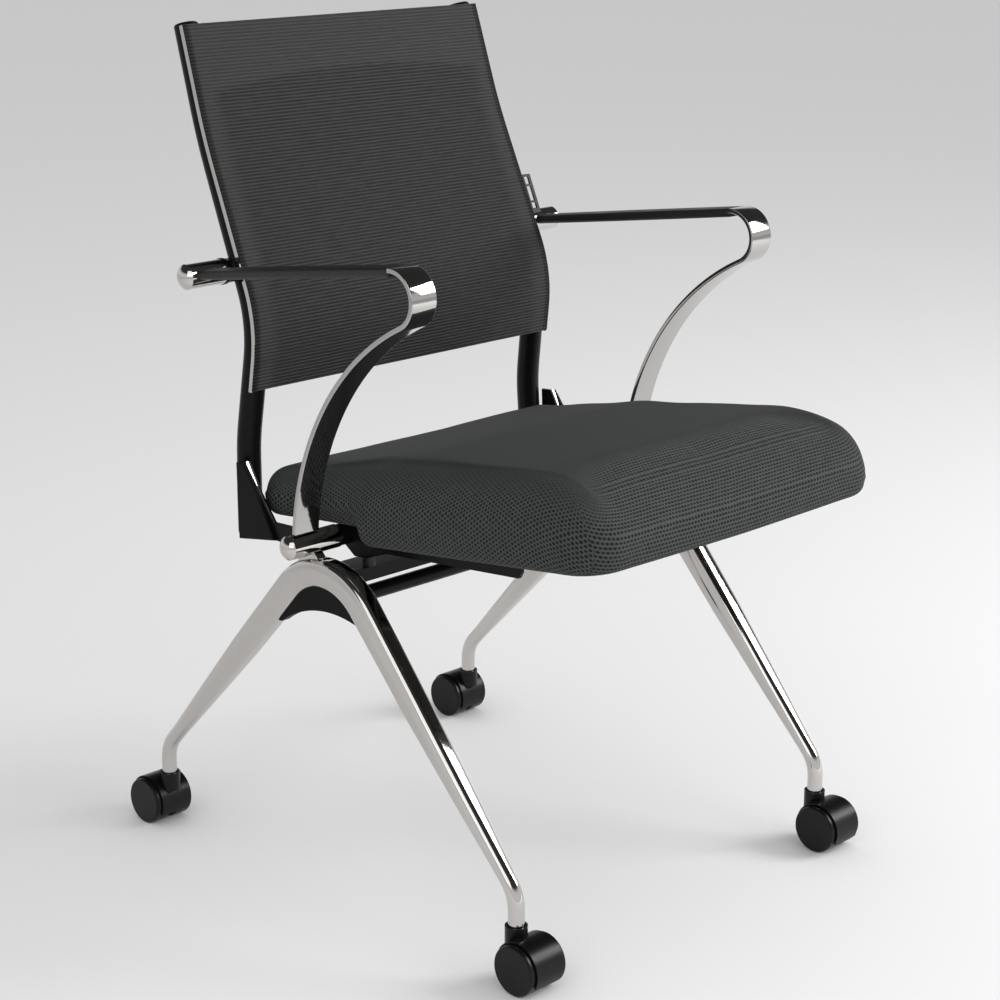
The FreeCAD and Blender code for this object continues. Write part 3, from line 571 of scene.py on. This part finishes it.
def stitch_tree():
    """Geometry Nodes: a row of stitches laid end to end along a line."""
    tree = bpy.data.node_groups.new("stitch_row", "GeometryNodeTree")
    face = tree.interface
    for name, kind in (("Line", "Geometry"), ("Pitch", "Float"), ("Length", "Float"),
                       ("Thickness", "Float"), ("Thread", "Material")):
        face.new_socket(name, in_out="INPUT", socket_type="NodeSocket" + kind)
    face.new_socket("Stitches", in_out="OUTPUT", socket_type="NodeSocketGeometry")

    def add(kind, links=None, **settings):
        node = tree.nodes.new(kind)
        for key, value in settings.items():
            setattr(node, key, value)
        for key, source in (links or {}).items():
            if isinstance(source, bpy.types.NodeSocket):
                tree.links.new(source, node.inputs[key])
            else:
                node.inputs[key].default_value = source
        return node.outputs

    given = add("NodeGroupInput")
    curve = add("GeometryNodeMeshToCurve", {"Mesh": given["Line"]})[0]
    marks = add("GeometryNodeCurveToPoints", {"Curve": curve, "Length": given["Pitch"]},
                mode="LENGTH")
    half = add("ShaderNodeMath", {0: given["Length"], 1: 0.5}, operation="MULTIPLY")[0]
    size = add("ShaderNodeCombineXYZ", {0: given["Thickness"], 1: given["Thickness"], 2: half})[0]
    bead = add("GeometryNodeMeshIcoSphere", {"Radius": 1.0, "Subdivisions": 2})[0]
    laid = add("GeometryNodeInstanceOnPoints", {"Points": marks["Points"], "Instance": bead,
                                                "Rotation": marks["Rotation"], "Scale": size})[0]
    real = add("GeometryNodeRealizeInstances", {0: laid})[0]
    sewn = add("GeometryNodeSetMaterial", {"Geometry": real, "Material": given["Thread"]})[0]
    add("NodeGroupOutput", {"Stitches": sewn})
    return tree


def make_hem_stitches():
    """A row of stitches down each side hem of the mesh."""
    end_gap, runs = 3.0, 90
    moved, _, length = back_profile(MESH_AHEAD + STITCH_PROUD)
    s0, s1 = np.interp([MESH_LOW + end_gap, MESH_HIGH - end_gap], moved[:, 1], length)
    s = np.linspace(s0, s1, runs)
    y, z = (np.interp(s, length, moved[:, i]) for i in (0, 1))
    half = mesh_half(z) - STITCH_IN
    inputs = {"Pitch": RIB_PITCH * MM, "Length": STITCH_LENGTH * MM, "Thickness": STITCH_R * MM,
              "Thread": SOFT}
    tree = stitch_tree()
    for name, side in SIDES:
        points = np.stack([side * half, y + ORIGIN_Y, z], 1) * MM
        data = bpy.data.meshes.new("hem_line")
        data.from_pydata(points.tolist(), [(i, i + 1) for i in range(runs - 1)], [])
        line = linked("hem_line", data)
        rows = line.modifiers.new("stitches", "NODES")
        rows.node_group = tree
        for socket in tree.interface.items_tree:
            if socket.name in inputs:
                rows[socket.identifier] = inputs[socket.name]
        depsgraph = bpy.context.evaluated_depsgraph_get()
        sewn = bpy.data.meshes.new_from_object(line.evaluated_get(depsgraph))
        bpy.data.objects.remove(line)
        sewn.polygons.foreach_set("use_smooth", [True] * len(sewn.polygons))
        stitches = linked("hem_stitches_" + name, sewn)
        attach(stitches, "frame")


# ---- seat ----
def seat_place(points):
    """From the seat's own frame, level with its pivot at the origin, to the chair."""
    a = math.radians(-SEAT_TILT)
    x, y, z = np.asarray(points, float).T
    return np.stack([x, y * math.cos(a) - z * math.sin(a) + LOWER_Y + ORIGIN_Y,
                     y * math.sin(a) + z * math.cos(a) + LOWER_Z], 1)


def eased(value, low, high):
    """0 below low, 1 above high, smooth between."""
    k = np.clip((value - low) / (high - low), 0, 1)
    return k * k * (3 - 2 * k)


def cushion_top(x, y):
    """Height of the cushion's crowned top: a gentle rise forward, then the rounded front."""
    ahead = -y
    top = np.where(ahead < CROWN_BREAK, CROWN_REAR_Z + (ahead + SEAT_REAR) * REAR_SLOPE,
                   CROWN_BREAK_Z + (ahead - CROWN_BREAK) * FRONT_SLOPE)
    k = np.clip((ahead + SEAT_FRONT + NOSE) / NOSE, 0, 1)
    fall = 0.42 + 0.58 * np.sqrt(np.maximum(1 - k * k, 0))
    top = np.where(k > 0, NOSE_LOW + (top - NOSE_LOW) * fall, top)
    return top - CROWN_DROP * np.abs(x / SEAT_HALF) ** 3 * (1 - eased(y, 0.0, 90.0))


def cushion_outline(half):
    """Plan of the cushion from the middle of its rear right corner, with outward normals.

    Its four runs are the rear, the left, the front and the right.
    """
    radii = (REAR_CORNER, REAR_CORNER, FRONT_CORNER, FRONT_CORNER)
    centres = [(half - REAR_CORNER, CUSHION_REAR - REAR_CORNER),
               (REAR_CORNER - half, CUSHION_REAR - REAR_CORNER),
               (FRONT_CORNER - half, SEAT_FRONT + FRONT_CORNER),
               (half - FRONT_CORNER, SEAT_FRONT + FRONT_CORNER)]
    half_turn = 12
    points, angles = [], []
    for k, count in enumerate((ACROSS, DEEP, ACROSS, DEEP)):
        turns = np.concatenate([np.linspace(45, 90, half_turn) + 90 * k,
                                np.linspace(0, 45, half_turn) + 90 * (k + 1)])
        corners = [k] * half_turn + [(k + 1) % 4] * half_turn
        run = np.array([turned(centres[c], a, radii[c]) for c, a in zip(corners, turns)])
        length = lengths_along(run)
        marks = np.linspace(0, length[-1], count + 1)[:-1]
        points.append(np.stack([np.interp(marks, length, run[:, i]) for i in (0, 1)], 1))
        angles.append(np.interp(marks, length, turns))
    angles = np.radians(np.concatenate(angles))
    return np.concatenate(points), np.stack([np.cos(angles), np.sin(angles)], 1)


def filled_plan(ring, height):
    """Grid of points inside a ring that runs rear, left, front, right. height gives their Z."""
    ring = np.concatenate([ring, ring[:1]])
    rear, left = ring[:ACROSS + 1][::-1], ring[ACROSS:ACROSS + DEEP + 1][::-1]
    front = ring[ACROSS + DEEP:2 * ACROSS + DEEP + 1]
    right = ring[2 * ACROSS + DEEP:]
    u, v = np.meshgrid(np.linspace(0, 1, ACROSS + 1), np.linspace(0, 1, DEEP + 1))
    u, v = u[..., None], v[..., None]
    grid = (1 - v) * front[None] + v * rear[None] + (1 - u) * left[:, None] + u * right[:, None]
    grid = grid - ((1 - u) * (1 - v) * front[0] + u * (1 - v) * front[-1]
                   + (1 - u) * v * rear[0] + u * v * rear[-1])
    return np.dstack([grid, height(grid[..., 0], grid[..., 1])])


def cushion_rings():
    """Rings from the lip round the pan, up sides that pull in below the arms, to the top's edge."""
    plan, normal = cushion_outline(SEAT_HALF - SIDE_INSET)
    y = plan[:, 1]
    to_side = np.abs(normal[:, 0])
    to_front, to_rear = np.maximum(-normal[:, 1], 0), np.maximum(normal[:, 1], 0)
    front = eased(to_front, 0.25, 1.0)
    under = UNDER + UNDER_RISE * np.maximum(-RISE_FROM - y, 0) / (-SEAT_FRONT - RISE_FROM)
    under = np.maximum(under, REAR_UNDER - (REAR_UNDER - UNDER) * eased(-y, 32.0, 57.0))
    waist = WAIST * eased(y, -54.0, -30.0) * (1 - eased(y, 20.0, 75.0)) * to_side ** 2
    roll = (ROLL + ROLL_REAR * to_rear + ROLL_FRONT * front
            + ROLL_SIDE * to_side * eased(-y, -40.0, 40.0) * (1 - front))
    inner = plan - normal * roll[:, None]
    shoulder = cushion_top(inner[:, 0], inner[:, 1]) - roll - 1.0
    shoulder = (1 - front) * shoulder + front * FRONT_SHOULDER
    bottom_r = np.minimum(BOTTOM_R + BOTTOM_R_REAR * to_rear,
                          (shoulder - under) * (0.45 + 0.45 * to_rear))
    lip = LIP + LIP_REAR * to_rear
    levels = [(lip, FLOOR + 0 * y), (lip - 0.6, under + 1.5), (lip - 3.0, under)]
    for a in np.radians([0, 22, 45, 68, 90]):
        levels.append((waist * (0.3 + 0.7 * math.sin(a)) + bottom_r * (1 - math.sin(a)),
                       under + bottom_r * (1 - math.cos(a))))
    for t in np.linspace(0, 1, 9)[1:]:
        bulge = BULGE * math.sin(math.pi * t)
        levels.append((waist * (1 - 0.35 * t) - bulge * to_side * 0.5 - bulge * front,
                       under + bottom_r + (shoulder - under - bottom_r) * t))
    for a in np.radians([12, 24, 36, 48, 60, 70, 80, 90]):
        inset = waist * 0.65 * (1 - math.sin(a)) + roll * (1 - math.cos(a))
        spot = plan - normal * inset[:, None]
        top = cushion_top(spot[:, 0], spot[:, 1])
        levels.append((inset, shoulder + (top - shoulder) * math.sin(a)))
    rings = [np.column_stack([plan - normal * inset[:, None], z]) for inset, z in levels]
    return rings, plan


def side_cloth(rings, plan):
    """Cloth places of the rings' faces, and the places round the plan that they start from."""
    gaps = [np.linalg.norm(b - a, axis=1) for a, b in zip(rings, rings[1:])]
    down = np.concatenate([[np.zeros(len(plan))], np.cumsum(gaps, axis=0)])
    down = down[-1] - down - CLOTH_START
    step = np.linalg.norm(np.roll(plan, -1, axis=0) - plan, axis=1)
    along = np.concatenate([[0], np.cumsum(step)])
    along *= round(along[-1] / HOLE_STEP) * HOLE_STEP / along[-1]
    uv = []
    for i in range(len(rings) - 1):
        for j in range(len(plan)):
            k = (j + 1) % len(plan)
            uv += [(along[j], down[i, j]), (along[j + 1], down[i, k]),
                   (along[j + 1], down[i + 1, k]), (along[j], down[i + 1, j])]
    return uv, along


def cushion_mesh():
    """Closed cushion: points, faces, cloth places, points held in the cloth run, loose share.

    The loose share is 1 for the points that are evened out and 0 for those that stay.
    """
    rings, plan = cushion_rings()
    size = len(plan)
    points, faces = skin(rings, caps=False)
    uv, along = side_cloth(rings, plan)
    top_start, floor_start = (len(rings) - 1) * size, len(rings) * size
    floors = filled_plan(rings[0][:, :2], lambda x, y: np.full(x.shape, FLOOR))
    tops = filled_plan(rings[-1][:, :2], cushion_top)
    middle = ACROSS + DEEP + ACROSS // 2
    brink = rings[-1][middle, 1]
    for grid, ring_start, flip in ((floors, 0, True), (tops, top_start, False)):
        index = -np.ones(grid.shape[:2], int)
        index[0, :-1] = ring_start + ACROSS + DEEP + np.arange(ACROSS)
        index[:-1, -1] = ring_start + 2 * ACROSS + DEEP + np.arange(DEEP)
        index[-1, 1:] = ring_start + ACROSS - np.arange(1, ACROSS + 1)
        index[1:, 0] = ring_start + ACROSS + DEEP - np.arange(1, DEEP + 1)
        inside = index < 0
        index[inside] = len(points) + np.arange(inside.sum())
        points = np.concatenate([points, grid[inside]])
        for j in range(DEEP):
            for i in range(ACROSS):
                face = (index[j, i], index[j, i + 1], index[j + 1, i + 1], index[j + 1, i])
                face = face[::-1] if flip else face
                faces.append(face)
                uv += [(points[c][0] + along[middle], brink - points[c][1] - CLOTH_START)
                       for c in face]
    floor_inner = floor_start + np.arange((ACROSS - 1) * (DEEP - 1))
    loose = np.ones(len(points))
    loose[:(len(rings) - EVENED_RINGS) * size] = 0
    loose[floor_inner] = 0
    held = np.concatenate([np.arange(HELD_RINGS * size), floor_inner])
    return points, faces, uv, held, loose


def face_edges(faces):
    """Every edge of the four-sided faces, once from each side."""
    faces = np.array(faces)
    return np.concatenate([faces[:, pair] for pair in ([0, 1], [1, 2], [2, 3], [3, 0])])


def evened(values, edges, passes):
    """Values averaged with their neighbours', which takes out creases and puckers."""
    count = np.bincount(edges[:, 0], minlength=len(values))[:, None]
    for _ in range(passes):
        total = np.zeros_like(values)
        for axis in (X, Y, Z):
            total[:, axis] = np.bincount(edges[:, 0], values[edges[:, 1], axis],
                                         minlength=len(values))
        values = (values + total / count) / 2
    return values


def swollen(cushion, rest, held, edges):
    """Blow the cushion up a little with cloth pressure, so the fabric sits tight on its foam."""
    group = cushion.vertex_groups.new(name="hold")
    group.add([int(i) for i in held], 1.0, "REPLACE")
    cloth = cushion.modifiers.new("cloth", "CLOTH")
    settings = cloth.settings
    settings.quality, settings.mass, settings.air_damping = 6, 0.3, 2.0
    settings.tension_stiffness = settings.compression_stiffness = 30.0
    settings.shear_stiffness, settings.bending_stiffness = 15.0, 8.0
    settings.use_pressure, settings.uniform_pressure_force = True, 4.0
    settings.vertex_group_mass = group.name
    settings.effector_weights.gravity = 0.0
    cloth.point_cache.frame_start, cloth.point_cache.frame_end = 1, SWELL_FRAMES
    for number in range(1, SWELL_FRAMES + 1):
        bpy.context.scene.frame_set(number)
    depsgraph = bpy.context.evaluated_depsgraph_get()
    moved = np.array([v.co for v in cushion.evaluated_get(depsgraph).data.vertices])
    cushion.modifiers.remove(cloth)
    bpy.context.scene.frame_set(1)
    shift = evened(moved - rest, edges, SWELL_PASSES)
    far = np.linalg.norm(shift, axis=1)
    return rest + shift * (np.minimum(far, SWELL * MM) / np.maximum(far, 1e-9))[:, None]


def make_cushion():
    """The padded seat, subdivided once so that its edges stay round."""
    points, faces, uv, held, loose = cushion_mesh()
    edges = face_edges(faces)
    points += (evened(points, edges, SHAPE_PASSES) - points) * loose[:, None]
    points = seat_place(points)
    cushion = piece("cushion", points, faces, SEAT_CLOTH, "seat", smooth=180, uv=uv)
    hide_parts("seat_cushion")
    blown = swollen(cushion, points * MM, held, edges)
    cushion.data.vertices.foreach_set("co", blown.ravel())
    smooth = cushion.modifiers.new("smooth", "SUBSURF")
    smooth.levels = smooth.render_levels = 1
    smooth.uv_smooth = "NONE"


make_legs()
make_arms()
make_back_cloth()
make_hem_stitches()
make_cushion()

# ---- carried-over nodes, by the start of their names; the last finish that fits a name stays ----
FINISHES = {
    CHROME: ("lower_barrel", "upper_barrel", "mesh_edge", "side_leg", "arm_strap"),
    EDGED: ("side_plate",),
    TUBE_COAT: ("back_tube", "back_cross_bar", "top_rail", "arm_bracket", "cross_tube",
                "cross_plate", "seat_bracket", "seat_cross_bar"),
    ZINC: ("cross_tube_studs", "pan_screws", "foot_bolts", "caster_axle", "caster_stems",
           "pivot_pins"),
    MOULDED: ("foot_cover", "leg_web", "back_tube_caps", "seat_pan", "hub_bushes",
              "caster_sockets"),
    GLOSS: ("caster_hood", "wheel"),
    SOFT: ("seat_stops", "arm_pad"),
}
for finish, starts in FINISHES.items():
    for name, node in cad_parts.items():
        if name.startswith(starts):
            node.data.materials.clear()
            node.data.materials.append(finish)


# ---- room, lamps and camera ----
def make_room():
    """A pale floor, and a pale studio whose upper part is dark to reflections."""
    far, pale = 30, 0.80
    data = bpy.data.meshes.new("floor")
    data.from_pydata([(-far, -far, 0), (far, -far, 0), (far, far, 0), (-far, far, 0)], [],
                     [(0, 1, 2, 3)])
    data.materials.append(Finish("floor_paper", Roughness=0.9, Base_Color=grey(0.74)).material)
    linked("floor", data)
    world = bpy.data.worlds.new("studio")
    bpy.context.scene.world = world
    world.use_nodes = True
    tree = world.node_tree
    places, split, ramp, path, mix = [tree.nodes.new("ShaderNode" + kind) for kind in (
        "TexCoord", "SeparateXYZ", "ValToRGB", "LightPath", "Mix")]
    mix.data_type = "RGBA"
    mix.inputs[6].default_value = grey(pale) + (1,)
    tree.links.new(places.outputs["Generated"], split.inputs[0])
    tree.links.new(split.outputs[Z], ramp.inputs[0])
    tree.links.new(path.outputs["Is Glossy Ray"], mix.inputs[0])
    tree.links.new(ramp.outputs[0], mix.inputs[7])
    tree.links.new(mix.outputs[2], tree.nodes["Background"].inputs[0])
    shades = [(0.0, pale), (0.28, 0.74), (0.44, 0.05), (1.0, 0.03)]
    while len(ramp.color_ramp.elements) < len(shades):
        ramp.color_ramp.elements.new(1.0)
    for element, (place, shade) in zip(ramp.color_ramp.elements, shades):
        element.position, element.color = place, grey(shade) + (1,)


def lamp(name, place, size, power, mirrored=True):
    """A soft rectangular lamp aimed at the chair."""
    data = bpy.data.lights.new(name, "AREA")
    data.shape, data.size, data.size_y, data.energy = "RECTANGLE", size[0], size[1], power
    made = linked(name, data)
    made.location = place
    aim = Vector((0, 0, 0.45)) - Vector(place)
    made.rotation_euler = aim.to_track_quat("-Z", "Y").to_euler()
    made.visible_glossy = mirrored


def make_camera():
    """The camera stands to the front left, looking a little down on the chair."""
    data = bpy.data.cameras.new("camera")
    data.lens, data.sensor_width = 84.86, 36.0
    made = linked("camera", data)
    made.location = (-1.6698, -1.6635, 1.0537)
    yaw, down = math.radians(45.1), math.radians(16.0)
    ahead = Vector((math.cos(down) * math.sin(yaw), math.cos(down) * math.cos(yaw),
                    -math.sin(down)))
    made.rotation_euler = ahead.to_track_quat("-Z", "Y").to_euler()
    bpy.context.scene.camera = made


make_room()
lamp("key", (2.4, -2.1, 2.0), (1.5, 1.5), 80)
lamp("fill", (-2.6, -1.2, 1.9), (2.0, 2.0), 18)
lamp("front", (0.7, -3.0, 1.1), (2.0, 1.5), 22, mirrored=False)
make_camera()
bpy.context.scene.view_settings.view_transform = "Standard"
